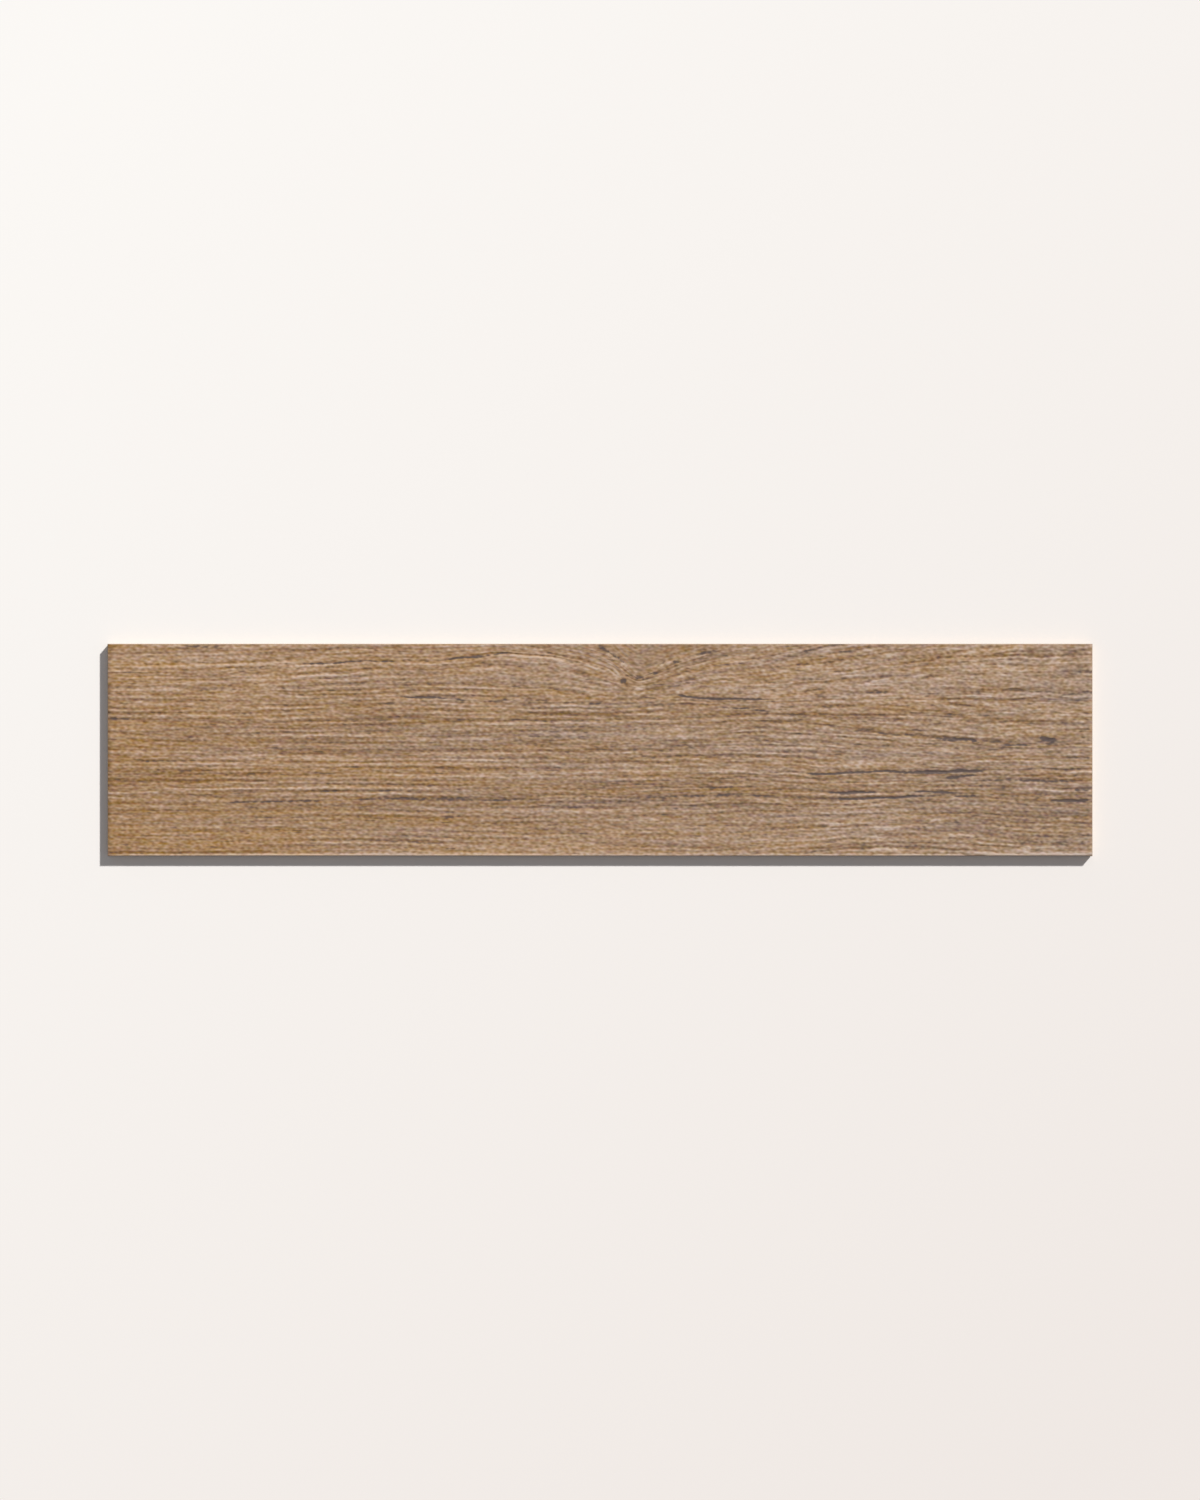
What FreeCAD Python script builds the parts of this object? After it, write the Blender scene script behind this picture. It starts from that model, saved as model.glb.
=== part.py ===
# Wood-look porcelain plank tile, in millimetres.
# One slab, dry-pressed, fired and ground to size: a flat printed face, square edges with a
# fine bevel, and a back pressed into shallow pockets between ribs that the adhesive keys into.
# The tile lies on its back. X runs along the plank, Y across it and Z out of the printed face.
import FreeCAD
import Part
import math
import os

# The slab, as ground to its sale format
FACE_LENGTH = 900.0
FACE_WIDTH = 194.0
THICKNESS = 10.0  # from the rib tops to the printed face
FACE_BEVEL = 0.7  # 45 degree arris ground round the printed face
BACK_BEVEL = 1.0  # 45 degree arris round the back

# The keying pattern of the back
PLAIN_BORDER = 10.5  # unpatterned strip along every edge
RIB_WIDTH = 4.0  # measured at the rib tops
RIB_SPACING = 22.0  # wanted distance from rib to rib, stretched to fit whole pockets
POCKET_DEPTH = 0.7
POCKET_CLIP = 2.5  # how far the corners of a pocket are cut back along either wall
POCKET_DRAFT = 30.0  # lean of the pocket walls from upright, in degrees


def edges_spanning(shape, bottom, top):
    """The edges of a shape that rise from one height to another, or lie level where both agree."""
    found = []
    for edge in shape.Edges:
        heights = sorted(end.Z for end in edge.Vertexes)
        if math.isclose(heights[0], bottom, abs_tol=1e-6) and math.isclose(heights[-1], top, abs_tol=1e-6):
            found.append(edge)
    return found


def ground_slab():
    """The plain slab with both of its arrises."""
    corner = FreeCAD.Vector(-FACE_LENGTH / 2, -FACE_WIDTH / 2, 0)
    slab = Part.makeBox(FACE_LENGTH, FACE_WIDTH, THICKNESS, corner)
    slab = slab.makeChamfer(FACE_BEVEL, edges_spanning(slab, THICKNESS, THICKNESS))
    return slab.makeChamfer(BACK_BEVEL, edges_spanning(slab, 0, 0))


def pocket(length, width):
    """The space inside one pocket of the back, its walls closing in from the mouth to the floor."""
    lean = POCKET_DEPTH * math.tan(math.radians(POCKET_DRAFT))
    mouth_x = length / 2
    mouth_y = width / 2
    floor_x = mouth_x - lean
    floor_y = mouth_y - lean
    # A wedge narrows along its own Y axis, so it is made lying down and then stood on its mouth.
    space = Part.makeWedge(-mouth_x, 0, -mouth_y, -floor_y, -floor_x,
                           mouth_x, POCKET_DEPTH, mouth_y, floor_y, floor_x)
    space.rotate(FreeCAD.Vector(0, 0, 0), FreeCAD.Vector(1, 0, 0), 90)
    return space.makeChamfer(POCKET_CLIP, edges_spanning(space, 0, POCKET_DEPTH))


def pockets_along(side):
    """How many pockets fit along a side of the tile, and the distance from one to the next.
    The count is even, so that a rib runs through the middle of the back."""
    patterned = side - 2 * PLAIN_BORDER + RIB_WIDTH
    count = 2 * max(1, round(patterned / (2 * RIB_SPACING)))
    return count, patterned / count


def key_pockets():
    """All the pockets of the back, in rows and columns about its centre."""
    columns, pitch_x = pockets_along(FACE_LENGTH)
    rows, pitch_y = pockets_along(FACE_WIDTH)
    first = pocket(pitch_x - RIB_WIDTH, pitch_y - RIB_WIDTH)
    pockets = []
    for column in range(columns):
        for row in range(rows):
            x = (column - (columns - 1) / 2) * pitch_x
            y = (row - (rows - 1) / 2) * pitch_y
            pockets.append(first.translated(FreeCAD.Vector(x, y, 0)))
    return pockets


def main():
    tile = ground_slab().cut(key_pockets()).Solids[0]
    os.makedirs("parts", exist_ok=True)
    tile.exportStep("parts/plank_tile.step")
    state = "valid" if tile.isValid() else "invalid"
    print("plank_tile:", state, "solid,", len(tile.Faces), "faces,", round(tile.Volume / 1000), "cubic cm")


main()
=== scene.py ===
import math

import bpy
import numpy as np
from bpy.props import FloatProperty, FloatVectorProperty, IntProperty, PointerProperty
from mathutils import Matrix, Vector


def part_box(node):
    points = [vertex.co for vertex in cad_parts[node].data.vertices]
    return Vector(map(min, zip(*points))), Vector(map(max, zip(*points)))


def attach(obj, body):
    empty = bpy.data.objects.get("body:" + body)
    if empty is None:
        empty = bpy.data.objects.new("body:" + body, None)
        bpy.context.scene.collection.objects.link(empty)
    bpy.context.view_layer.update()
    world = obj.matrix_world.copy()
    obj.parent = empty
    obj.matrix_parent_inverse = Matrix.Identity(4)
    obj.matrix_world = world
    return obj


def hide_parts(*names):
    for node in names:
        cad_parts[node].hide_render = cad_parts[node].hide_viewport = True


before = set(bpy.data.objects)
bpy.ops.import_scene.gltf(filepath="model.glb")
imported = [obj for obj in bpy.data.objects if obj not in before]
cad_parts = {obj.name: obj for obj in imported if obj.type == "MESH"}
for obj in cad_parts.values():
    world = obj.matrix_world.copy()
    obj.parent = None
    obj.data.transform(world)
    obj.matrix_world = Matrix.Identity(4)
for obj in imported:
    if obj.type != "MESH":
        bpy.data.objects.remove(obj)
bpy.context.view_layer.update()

bl_info = {
    "name": "Wood-look plank tile",
    "version": (1, 0, 0),
    "blender": (4, 5, 0),
    "location": "3D View > Sidebar > Plank tile",
    "description": "A porcelain plank tile with a wood relief face, ground edges and a keyed back",
    "category": "Object",
}

NODE = "plank_tile"
MM = 0.001
TILE_LOW, TILE_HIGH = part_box(NODE)
LENGTH, WIDTH, THICKNESS = TILE_HIGH - TILE_LOW

# The photograph's frame, in pixels
PHOTO_HEIGHT = 1500
TILE_LENGTH_IN_PHOTO = 985.2  # from one short edge of the tile to the other

# Noise on the face comes in layers. A layer's cells have a length along the plank and a width across it,
# in millimetres, and a layer starts at a place of its own in the noise.
NOISE_SPREAD = 0.124  # standard deviation of one layer
NOISE_TURN = (0.5, 0.3, 0.6)  # how cells are turned, in radians
DEEP = 1000  # depth of a layer's cells, so great that the relief's height makes no difference

# Streaks of the wood: length, width, and weight where the grain is unruly and where it is evenly ruled
STREAKS = ((16, 2.4, 0.6, 0.26), (60, 2.6, 0.36, 0.36), (190, 2.8, 0.3, 0.75), (320, 28, 0.22, 0.22))
STREAK_STEP = 7.3  # from the start of one layer of streaks to the start of the next

# Single layers: length, width and start
WANDER = (30, 11, 50)
LINE_STRAY = (420, 60, 60)
LINE_PATCHES = (180, 8, 70)
FLECKS = (3.8, 2.3, 80)
GREEN_FLECKS = (7, 2.2, 95)
PORES = (14, 1.7, 0)

# How straightened grain is laid
WAVE = 0.5  # how far unruly grain lines wander to either side, in millimetres
RULED_CALM = 0.7  # share of that wave which evenly ruled grain loses
LEVEL_STEP = 0.5  # from one laying to the next finer one, in doublings of the lines' spacing
LEVEL_SHIFT = 3.4  # how many cells one doubling moves on into fresh noise

# Growth lines
LINE_SPACING = 5.5  # in millimetres
LINE_WEIGHT = 1.7
LINES_STRAYED = 4.0  # how many spacings they stray at most
RULED_LINES = 0.35  # how much more of them evenly ruled grain shows
LINES_SHOWN = (0.52, 0.82)  # patches of noise where they begin to show, and where they show in full

# The print. Marks are pale above 0 and dark below.
FLECK_WEIGHT = 0.74
MARK_RANGE = 7.3  # marks from the darkest print to the palest
MOST_MARKS = 2.5  # most marks lie within this of 0
GLAZE_ROUGHNESS = (0.66, 0.54)  # in dark grain and in pale
GLAZE_SHINE = 0.35
PRINT_BUMP = 0.05  # how high a mark of 1 looks in the light, in millimetres
PORE_BUMP = 3.0  # marks taken off where a pore would be wholly dark
PORE_LEAN = 0.05  # how much fewer pores there are in pale grain
PORE_RIM = (0.28, 0.12)  # noise at a pore's rim and at its middle
PORE_DARK = 0.5
CHECK_GAIN = 1.3
CHECK_RAGGED = 0.16  # how much marks eat into a check's rims
CHECK_RIM = (0.34, 0.95)  # strength of a check where it begins to show, and where it shows in full
CHECK_DARK = 0.88

# Hues of the print, at equal lightness and in levels out of 255. Layers that make it warmer or cooler are
# given as length, width, start and levels. Tints are linear colours for one level.
WARM_LAYERS = ((130, 9, 90, 3.2), (36, 2.4, 91, 3.3), (4.5, 2, 92, 3.8))
WARM_TINT = (0.0015, -0.0001, -0.002)  # between red and blue
BROAD_TINT = (0.0018, -0.0002, -0.0018)  # the same for broad areas, which turn less green
GREEN_TINT = (-0.0035, 0.0011, -0.0021)  # between green and the other two
GREEN_LEVELS = 1.7
END_WARMTH = 7.5  # how much warmer than the middle the left end is, and how much cooler the right end
LEAST_LIGHT = (0.005, 0.005, 0.005)

# The relief
SHORTEST_PRESSED = 40  # length of the shortest streaks that are pressed and not only printed
PRESSED_RANGE = 6  # marks from the deepest grain to the highest
PRESSED_TONE = 0.6  # how much the tone of lines and areas counts
LINE_SMOOTHING = (0.1, 0.2, 0.4, 0.2, 0.1)  # weights of neighbours that round the corners of grain guides

# How drawn lines vary: at how many places along a line, and from what to what
LINE_WAVER = (9, -0.35, 0.35)  # to either side, in millimetres
LINE_PRESS = (13, 0.55, 1.0)  # times the strength
LINE_SWELL = (11, 0.9, 1.6)  # times the half width
LINE_TAPER = 12  # how far from its ends a long line fades, in millimetres

# The half knot, in millimetres
KNOT_HEART = 101  # the grain line inside which it is calm
KNOT_X = 40  # where it stands along the plank
KNOT_CROWDING = (1.6, 60)  # how much closer together columns are there, and how far from it

# The ground edges and the pressed back: cells of noise in millimetres, and ranges of noise
EDGE_FLECK = 0.7
EDGE_CLOUDS = (17, 17, 5)
GRINDING_LINES = (40, 40, 0.2)
BACK_FLECK = 0.8
BACK_CLOUDS = (45, 33, 33)
BRUSH_STROKES = (70, 2.4, DEEP)
FLECK_RIM = (0.6, 0.72)  # where a fleck begins, and where it is full
MOST_NOISE = (0.3, 0.7)  # the range that holds most noise
GLAZE_EDGE = 0.2  # how far down a ground edge the glaze shows in full, in millimetres

# The stage
FLOOR_GAP = 0.05  # between the tile and the floor, in millimetres
# The floor's colour paints a falloff of light, palest at the upper left, with painted shade growing towards
# the lower right.
FLOOR_LEAN = 1.3  # how much more the floor darkens towards the front than towards the right
FLOOR_REACH = 1.3  # how far off it is palest and darkest, in metres
KEY_TOWARDS = (0.87, 1.0, 1.0)  # from the tile to the key light
KEY_ANGLE = 3  # in degrees
FILL_COLOUR = (1, 1, 1.06, 1)
SENSOR_WIDTH = 36.0  # in millimetres

# Where chosen grain lines run, in millimetres from the tile's centre: the height at which the line
# would lie if the grain were straight, and points along it. They part round the half knot that is
# cut off by the long edge, and fan out towards the right end.
GRAIN_GUIDES = (
    (200, ((-450, 200), (450, 230))),
    (104, ((-450, 104), (-100, 104), (-45, 100), (-12, 96), (8, 90), (20, 79), (34, 66), (50, 72),
           (68, 80), (95, 88), (115, 92), (150, 100), (200, 112), (250, 123), (350, 147), (450, 160))),
    (78, ((-450, 72), (-385, 73), (-340, 75), (-268, 79), (-213, 82), (-150, 81), (-130, 84), (-88, 88),
          (-60, 86), (-40, 84), (-20, 79), (5, 70), (20, 62), (36, 59), (55, 63), (75, 69), (103, 77),
          (150, 82), (200, 88.5), (250, 96), (300, 106), (350, 116), (400, 123), (450, 128))),
    (60, ((-450, 60), (-340, 60), (-213, 62), (-100, 61), (-50, 59), (-15, 55), (12, 52), (36, 51),
          (60, 54), (90, 59), (150, 62), (200, 67), (250, 72), (300, 76.5), (350, 80), (450, 83))),
    (48, ((-450, 50), (-350, 48), (-290, 47), (-225, 47), (-180, 48.5), (-150, 47), (-117, 45.5),
          (-80, 45), (0, 43.5), (50, 46), (75, 48), (110, 46.5), (155, 47), (200, 50.5), (290, 51.5),
          (350, 50), (450, 48))),
    (18, ((-450, 19), (-300, 18), (-220, 17), (-150, 17.5), (-60, 18), (5, 18), (60, 20), (110, 22),
          (150, 24), (190, 22), (230, 18), (275, 13), (320, 9), (350, 6), (400, 6), (450, 8))),
    (-18, ((-450, -18), (-300, -17), (-180, -17), (0, -18), (80, -18), (165, -20), (200, -22), (252, -19),
           (310, -20), (400, -18), (450, -18))),
    (-45, ((-450, -48), (-345, -47.5), (-290, -46), (-215, -45.5), (-120, -46), (-45, -45), (30, -44),
           (80, -42), (120, -40.5), (160, -41), (215, -44), (300, -42), (345, -42), (395, -44), (450, -46))),
    (-84, ((-450, -84), (-270, -84), (-180, -84), (-120, -86), (0, -86), (100, -88), (160, -84), (250, -79),
           (330, -79), (400, -84), (450, -83))),
    (-200, ((-450, -200), (450, -200))),
)

# The checks, which are dark splits along the grain: strength, half width and points, in millimetres
DARK_CHECKS = (
    (0.7, 1.0, ((-385, 95.5), (-372, 94.5), (-352, 94.5), (-335, 93))),
    (0.7, 0.9, ((-403, 53), (-399, 53))),
    (0.4, 0.8, ((-396, 52.8), (-392, 52.8))),
    (0.5, 0.7, ((-372, 53.5), (-360, 54.5), (-340, 55))),
    (0.45, 0.7, ((-349, 58.5), (-341, 59))),
    (0.5, 0.8, ((-340, 75), (-330, 74.5), (-316, 75), (-300, 77))),
    (0.6, 1.2, ((-449, 30.5), (-440, 28.5), (-426, 27.5))),
    (0.55, 0.8, ((-359, 31.5), (-348, 31.5), (-340, 33))),
    (0.35, 0.8, ((-326, 33), (-312, 34.5))),
    (0.4, 0.8, ((-381, 11.5), (-362, 11))),
    (0.6, 0.9, ((-412, -17.5), (-395, -18.2), (-380, -19), (-366, -18))),
    (0.35, 0.8, ((-425, -11), (-400, -10), (-381, -11))),
    (0.75, 0.8, ((-346, -48), (-330, -47.5), (-296, -47), (-270, -46), (-248, -46))),
    (0.4, 1.4, ((-332, -52), (-320, -53), (-305, -54))),
    (0.5, 0.7, ((-322, -62.5), (-290, -61))),
    (0.35, 0.8, ((-392, -49), (-377, -49.5))),
    (0.5, 1.4, ((-450, -43.5), (-443, -43.5))),
    (0.8, 0.8, ((-274, 79), (-258, 79), (-240, 79.5), (-225, 81), (-213, 82), (-205, 81), (-188, 81))),
    (0.45, 0.7, ((-186, 81.3), (-172, 81.7), (-148, 81))),
    (0.5, 0.7, ((-266, 62), (-240, 63.5))),
    (0.5, 0.8, ((-291, 57), (-282, 56))),
    (0.4, 0.7, ((-228, 45.5), (-213, 46))),
    (1.0, 0.75, ((-190, 50), (-180, 49), (-172, 48), (-150, 47.5), (-130, 46), (-114, 44.5))),
    (0.65, 0.9, ((-112, 44.8), (-80, 45.5), (-38, 44.2))),
    (0.6, 0.9, ((-24, 43.2), (-14, 42.8), (6, 42))),
    (0.5, 0.8, ((-259, 25), (-250, 26.5), (-243, 27))),
    (0.5, 0.8, ((-233, 26), (-205, 25.5), (-188, 25.5))),
    (0.4, 0.8, ((-258, 14.5), (-247, 14))),
    (0.4, 0.8, ((-223, 15.5), (-208, 15), (-190, 16.5), (-174, 16))),
    (0.4, 0.8, ((-216, -24.5), (-200, -25.5))),
    (0.45, 0.9, ((-256, -37), (-240, -38))),
    (0.6, 0.8, ((-206, -37.5), (-198, -38), (-189, -36.5))),
    (0.4, 0.8, ((-179, -37), (-167, -36.5))),
    (0.55, 1.0, ((-230, -46), (-212, -45), (-180, -44.5), (-150, -45.5), (-125, -46), (-105, -46.5),
                 (-68, -45))),
    (0.5, 0.8, ((-169, -56), (-159, -55))),
    (0.45, 0.8, ((-284, -85), (-270, -84.5), (-254, -86))),
    (0.55, 0.8, ((-196, -83.5), (-180, -84), (-165, -85), (-148, -86))),
    (0.4, 0.9, ((-189, 71), (-181, 69))),
    (0.85, 0.9, ((-143, 82.5), (-130, 84), (-115, 84.5), (-100, 86), (-88, 88.5), (-81, 88))),
    (0.4, 0.8, ((-32, 81.5), (-18, 78.5))),
    (0.4, 0.8, ((-62, 39), (-41, 39.3))),
    (0.45, 0.8, ((-133, 27), (-124, 27.5))),
    (0.45, 0.8, ((-101, 20.5), (-85, 20.5), (-71, 20))),
    (0.45, 0.8, ((-58, 21.5), (-40, 20.5), (-10, 22), (1, 22))),
    (0.4, 0.9, ((-63, 4), (-51, 3))),
    (0.4, 0.8, ((-39, -27), (-28, -27.5))),
    (0.65, 0.9, ((-46, -44.5), (-30, -45), (-18, -44), (-10, -42.5), (10, -44))),
    (0.35, 0.8, ((-79, -56), (-60, -56), (-49, -57))),
    (0.45, 0.8, ((-146, -63), (-138, -62), (-130, -60), (-117, -58.5))),
    (0.45, 0.9, ((-6, -58), (7, -58))),
    (0.4, 0.8, ((-123, -79), (-108, -78), (-97, -77.5))),
    (0.9, 1.3, ((-2, 95), (8, 90.5))),
    (0.9, 1.1, ((6, 91), (14, 86))),
    (0.9, 1.1, ((11, 87.5), (19, 82.5))),
    (0.8, 1.0, ((17, 83), (24, 78.5))),
    (1.1, 1.3, ((18, 63.4), (25, 63))),
    (0.7, 1.3, ((30, 67.4), (43, 65.3))),
    (0.8, 1.1, ((43, 70.6), (53, 70))),
    (0.7, 1.1, ((53, 76.5), (60.5, 81.5))),
    (0.9, 1.1, ((65, 81), (73, 79.8))),
    (0.8, 1.0, ((86, 87), (95, 88.5), (104, 90.2), (113, 92.2))),
    (0.5, 0.8, ((101, 76.6), (115, 78), (130, 79.5), (140, 82), (151, 84))),
    (0.45, 0.9, ((94, 66.3), (99, 66.5))),
    (1.3, 0.9, ((68, 50.5), (80, 48.5), (90, 47.5), (110, 46.5), (122, 46.5), (140, 46.5), (158, 46.5))),
    (0.95, 0.8, ((109, 38.5), (125, 38), (140, 37.5), (148, 36), (162, 34.5))),
    (0.35, 0.8, ((38, 26), (62, 24.5))),
    (0.4, 0.8, ((4, 19), (30, 19), (52, 19))),
    (0.5, 0.7, ((84, -34.5), (100, -35), (120, -33.5), (127, -32))),
    (0.5, 0.9, ((10, -44), (30, -44), (60, -42.5), (76, -42))),
    (0.8, 0.9, ((74, -42), (100, -42), (115, -40.5), (132, -40.5))),
    (0.45, 0.9, ((132, -41), (150, -42), (162, -41.5))),
    (0.35, 0.8, ((114, -81), (130, -80), (152, -80))),
    (0.4, 0.8, ((139, -53), (152, -54))),
    (0.55, 0.9, ((168, 89.5), (180, 89), (188, 90.5), (202, 94))),
    (0.45, 0.8, ((152, 69.5), (166, 71.5))),
    (0.4, 0.8, ((150, 54), (172, 53.5))),
    (0.6, 1.0, ((196, 55), (206, 56.5))),
    (0.4, 0.8, ((193, 51), (209, 51))),
    (0.6, 0.8, ((242, 51.5), (255, 52.3), (263, 51.5))),
    (0.35, 0.9, ((159, 30), (171, 30))),
    (0.5, 1.1, ((187, 21.5), (197, 22.5))),
    (0.6, 1.0, ((227, 17.5), (235, 17), (242, 19.5), (253, 20))),
    (0.55, 0.9, ((249, 16.5), (262, 14.5), (275, 13), (285, 14), (300, 13.5), (312, 16.5))),
    (0.55, 1.0, ((277, 20), (285, 19), (295, 18), (301, 15))),
    (0.5, 0.9, ((279, 9), (286, 8.5))),
    (0.45, 1.1, ((216, -2.5), (225, -2), (243, -2))),
    (0.35, 0.8, ((164, -9), (173, -8.5))),
    (0.5, 1.0, ((164, -20.5), (180, -20), (188, -21.5))),
    (1.25, 1.0, ((186, -21.3), (200, -22), (215, -22), (225, -21), (240, -20.5), (252, -19.5), (265, -19.5),
                (278, -21), (290, -20.5), (306, -20.5))),
    (1.6, 1.2, ((290, -20.5), (310, -20.5), (330, -19), (352, -19.5))),
    (1.0, 0.75, ((207, -39), (220, -39.5), (235, -39), (256, -39))),
    (0.85, 0.75, ((212, -44), (240, -45), (252, -44), (270, -43.5), (285, -42), (300, -42), (314, -41))),
    (1.0, 0.75, ((283, -38), (300, -38), (312, -39), (332, -39.5))),
    (0.5, 0.9, ((158, -52), (170, -55), (186, -54.5))),
    (0.4, 0.9, ((214, -67), (226, -67))),
    (0.55, 0.8, ((308, 80.5), (318, 82.5), (326, 84))),
    (0.45, 0.8, ((367, 91), (381, 91))),
    (0.4, 0.8, ((318, 62.5), (330, 65), (342, 65))),
    (0.75, 0.8, ((314, 32), (323, 32), (331, 32.5))),
    (1.2, 0.8, ((303, 10.5), (313, 10), (320, 9), (330, 10), (340, 9.5), (345, 7), (353, 5))),
    (0.5, 0.8, ((349, 8.3), (357, 7.5), (366, 7))),
    (1.2, 0.8, ((358, 5), (370, 4.5), (385, 4.5), (396, 4))),
    (1.2, 1.7, ((400, 11.5), (408, 10), (412, 9), (419, 7.5))),
    (0.8, 0.9, ((403, 6.5), (415, 5.5), (429, 5.5))),
    (0.55, 0.8, ((424, 11), (440, 11.5), (450, 10))),
    (0.55, 1.0, ((441, -6.5), (450, -7.5))),
    (1.4, 1.0, ((311, -25), (322, -25), (335, -23.5), (346, -23))),
    (0.8, 0.8, ((343, -27.5), (352, -28), (370, -27), (390, -28), (432, -29))),
    (1.0, 0.8, ((320, -42.5), (335, -42), (347, -42))),
    (0.6, 0.9, ((349, -40), (362, -41.5), (371, -42))),
    (0.5, 0.9, ((370, -43), (395, -44.5), (409, -43))),
    (0.5, 0.9, ((397, -41), (409, -42))),
    (1.5, 1.0, ((409, -45), (420, -46.5), (435, -46), (446, -46), (450, -45))),
    (0.9, 0.8, ((428, -37.5), (440, -37), (450, -36.5))),
    (0.55, 0.9, ((384, -71.5), (400, -72.5), (411, -72))),
    (0.45, 0.9, ((311, -80), (330, -79.5), (350, -80), (363, -80))),
    (0.55, 0.9, ((369, -83), (400, -84), (425, -84), (450, -83))),
    (0.4, 0.7, ((384, -17), (409, -16.5))),
    (0.5, 0.9, ((438, 53), (450, 52))),
)

# Long warm brown grain lines, given in the same way
BROWN_LINES = (
    (0.5, 1.0, ((-450, -18.5), (-380, -18.5), (-300, -17.5), (-230, -17.5), (-170, -17))),
    (0.4, 1.0, ((-450, -27), (-380, -27.5), (-300, -28))),
    (0.45, 1.0, ((-450, -93), (-360, -93.5), (-300, -93))),
    (0.35, 1.0, ((-300, -3), (-240, -2), (-170, -3))),
    (0.35, 1.0, ((-300, -11), (-240, -11), (-170, -11))),
    (0.4, 1.0, ((-230, 32), (-190, 31), (-150, 30))),
    (0.45, 0.9, ((-150, 17), (-120, 16), (-85, 16.5), (-60, 18), (0, 17.5))),
    (0.45, 0.9, ((-80, 33), (-50, 33.5), (0, 31.5), (40, 31))),
    (0.35, 1.0, ((-60, -8), (0, -9), (60, -9))),
    (0.35, 1.2, ((0, -86), (60, -87), (140, -90))),
    (0.35, 1.0, ((160, 31), (220, 32), (290, 33), (340, 31))),
    (0.45, 1.0, ((300, 49), (330, 47), (360, 45), (420, 45), (450, 44))),
    (0.4, 0.9, ((343, 56), (380, 54.5), (415, 56), (440, 53))),
    (0.45, 1.0, ((350, 86), (390, 87), (430, 88), (450, 87))),
    (0.35, 1.0, ((330, 28), (365, 28.5), (400, 26), (430, 25))),
    (0.4, 1.1, ((230, -88), (270, -87), (300, -88), (340, -93))),
    (0.4, 1.0, ((300, -75), (340, -74.5), (370, -78))),
    (0.35, 1.0, ((350, -22), (380, -24), (420, -24))),
    (0.6, 1.1, ((240, -77), (270, -77), (305, -75.5))),
    (0.55, 1.0, ((190, -89.5), (225, -89), (255, -88))),
)

# Pale raised lines, given in the same way. The last one is a painted highlight along the front edge of the
# face.
PALE_LINES = (
    (0.6, 0.9, ((-450, 55.5), (-420, 55), (-385, 56))),
    (0.7, 0.9, ((-340, 77), (-320, 77.5), (-300, 78), (-268, 77), (-232, 78.5))),
    (0.5, 0.8, ((-320, 68), (-270, 67), (-235, 69))),
    (0.75, 0.9, ((-84, 86.5), (-70, 85.3), (-44, 84.2), (-36, 83), (-26, 80.4), (-17.5, 78))),
    (0.75, 0.9, ((-16, 77.6), (-4.6, 74.6), (9, 70.8))),
    (0.7, 1.0, ((9, 70.8), (15, 67.8), (21, 64.8))),
    (0.9, 1.0, ((5, 88.3), (14, 82))),
    (0.9, 1.1, ((18, 79.8), (27, 74.5))),
    (1.0, 1.1, ((51, 72.8), (54, 76), (58.6, 79.2), (65, 80.6))),
    (0.5, 0.9, ((82, 84.8), (92, 86.5), (104, 88))),
    (0.45, 0.8, ((103, 79), (116, 80), (130, 81.2))),
    (0.6, 1.0, ((66, 53), (76, 54), (88, 55))),
    (0.5, 1.4, ((30, 54), (38, 55.5), (44, 54))),
    (0.4, 0.8, ((-450, -15.5), (-400, -15), (-360, -15))),
    (0.6, 0.8, ((284, 67), (296, 68))),
    (0.5, 0.9, ((270, 54), (285, 55))),
    (0.4, 0.9, ((0, -64), (40, -64), (60, -63.5))),
    (0.5, 1.1, ((228, -66), (245, -68), (275, -66))),
    (0.5, 0.9, ((-50, -7), (0, -6), (50, -5.5))),
    (1.1, 1.2, ((206, -68.5), (215, -68), (226, -69))),
    (0.9, 1.3, ((241, -71), (260, -72), (278, -71))),
    (0.9, 1.0, ((300, -64.5), (315, -63.5))),
    (1.0, 1.0, ((238, -80), (250, -79.5), (264, -80.5))),
    (0.9, 1.0, ((314, -78), (330, -77.5), (345, -79))),
    (1.0, 1.1, ((243, -91.5), (260, -90), (278, -91))),
    (0.8, 1.2, ((378, -91), (400, -90), (420, -90.5))),
    (0.8, 1.0, ((419, -63), (432, -62.5))),
    (0.9, 0.9, ((237, 59.5), (248, 61.5), (258, 64.5))),
    (0.8, 0.9, ((358, 69), (370, 70.5))),
    (0.9, 1.0, ((346, 43), (358, 41.5), (370, 41))),
    (0.8, 0.9, ((326, 87), (345, 89.5))),
    # A painted highlight along the front edge of the face, printed pale where the arris faces away from the
    # key light
    (0.9, 1.2, ((-450, -96), (450, -96))),
)

# Broad soft areas that are printed paler (above 0) or darker: tone, centre, half length and half width
BROAD_TONES = (
    (0.05, 0, 75, 600, 36),
    (-0.07, -280, 15, 220, 18),
    (-0.05, -185, 15, 60, 16),
    (0.09, -290, -15, 90, 14),
    (-0.07, -80, -48, 290, 16),
    (-0.06, 400, -48, 100, 16),
    (-0.04, -230, -80, 90, 16),
    (0.09, 90, -80, 220, 16),
    (0.09, 320, 48, 160, 18),
    (0.04, 190, 82, 70, 16),
    (-0.07, 270, -14, 140, 14),
    (-0.04, -440, -35, 70, 60),
)

# Broad soft areas that are printed warmer (above 0) or cooler, in levels out of 255, given in the same way
BROAD_HUES = (
    (2, 0, 85, 600, 20),
    (-4, -255, 48, 50, 16),
    (5, 240, 48, 160, 18),
    (-5, -60, 16, 170, 16),
    (-3, -190, -48, 120, 16),
    (4, 420, -35, 60, 30),
    (2, -150, -85, 400, 16),
)


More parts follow.
